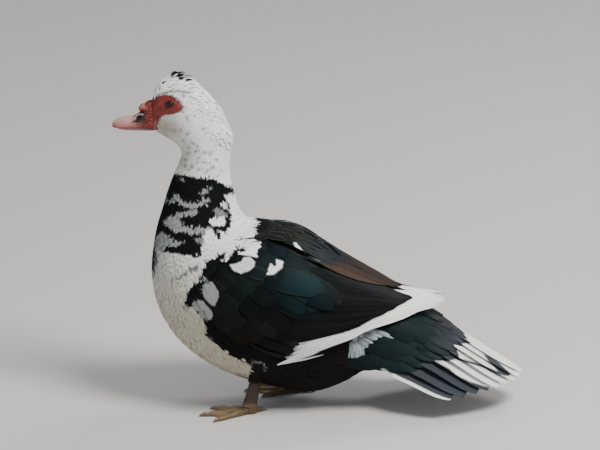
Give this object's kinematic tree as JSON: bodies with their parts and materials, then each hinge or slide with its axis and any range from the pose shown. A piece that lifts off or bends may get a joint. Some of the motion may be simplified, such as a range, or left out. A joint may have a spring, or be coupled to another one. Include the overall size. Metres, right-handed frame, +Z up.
{
  "type": "muscovy duck",
  "caption": "Still life-size model of a young muscovy drake standing with its head up: pied plumage, red face skin, low crest, folded wings and spread tail.",
  "frame": {"origin": "On the floor, under the middle of the bird's box.", "axes": "+X towards the bill, +Y to the bird's left, +Z up."},
  "size_m": [0.5334, 0.2002, 0.4511],
  "materials": {
    "white_feathers": "soft white feathers",
    "pied_feathers": "black and white feathers",
    "dark_feathers": "brown-black feathers",
    "wing_feathers": "black feathers with a blue-green sheen, white primaries",
    "tail_feathers": "green-black and white feathers",
    "red_skin": "bare red skin",
    "bill": "pink horn",
    "eye": "wet",
    "leg_skin": "scaly skin",
    "claw": "dark horn"
  },
  "bodies": {
    "root": {"head": "white_feathers", "face_skin": "red_skin", "bill_upper": "bill", "bill_lower": "bill", "neck": "pied_feathers", "torso": "pied_feathers", "tail": "tail_feathers", "wing_left": "wing_feathers", "eye_left": "eye", "thigh_left": "dark_feathers", "leg_left": "leg_skin", "foot_left": "leg_skin", "claw_left_inner": "claw", "claw_left_middle": "claw", "claw_left_outer": "claw", "claw_left_hind": "claw", "wing_right": "wing_feathers", "eye_right": "eye", "thigh_right": "dark_feathers", "leg_right": "leg_skin", "foot_right": "leg_skin", "claw_right_inner": "claw", "claw_right_middle": "claw", "claw_right_outer": "claw", "claw_right_hind": "claw"}
  },
  "joints": []
}
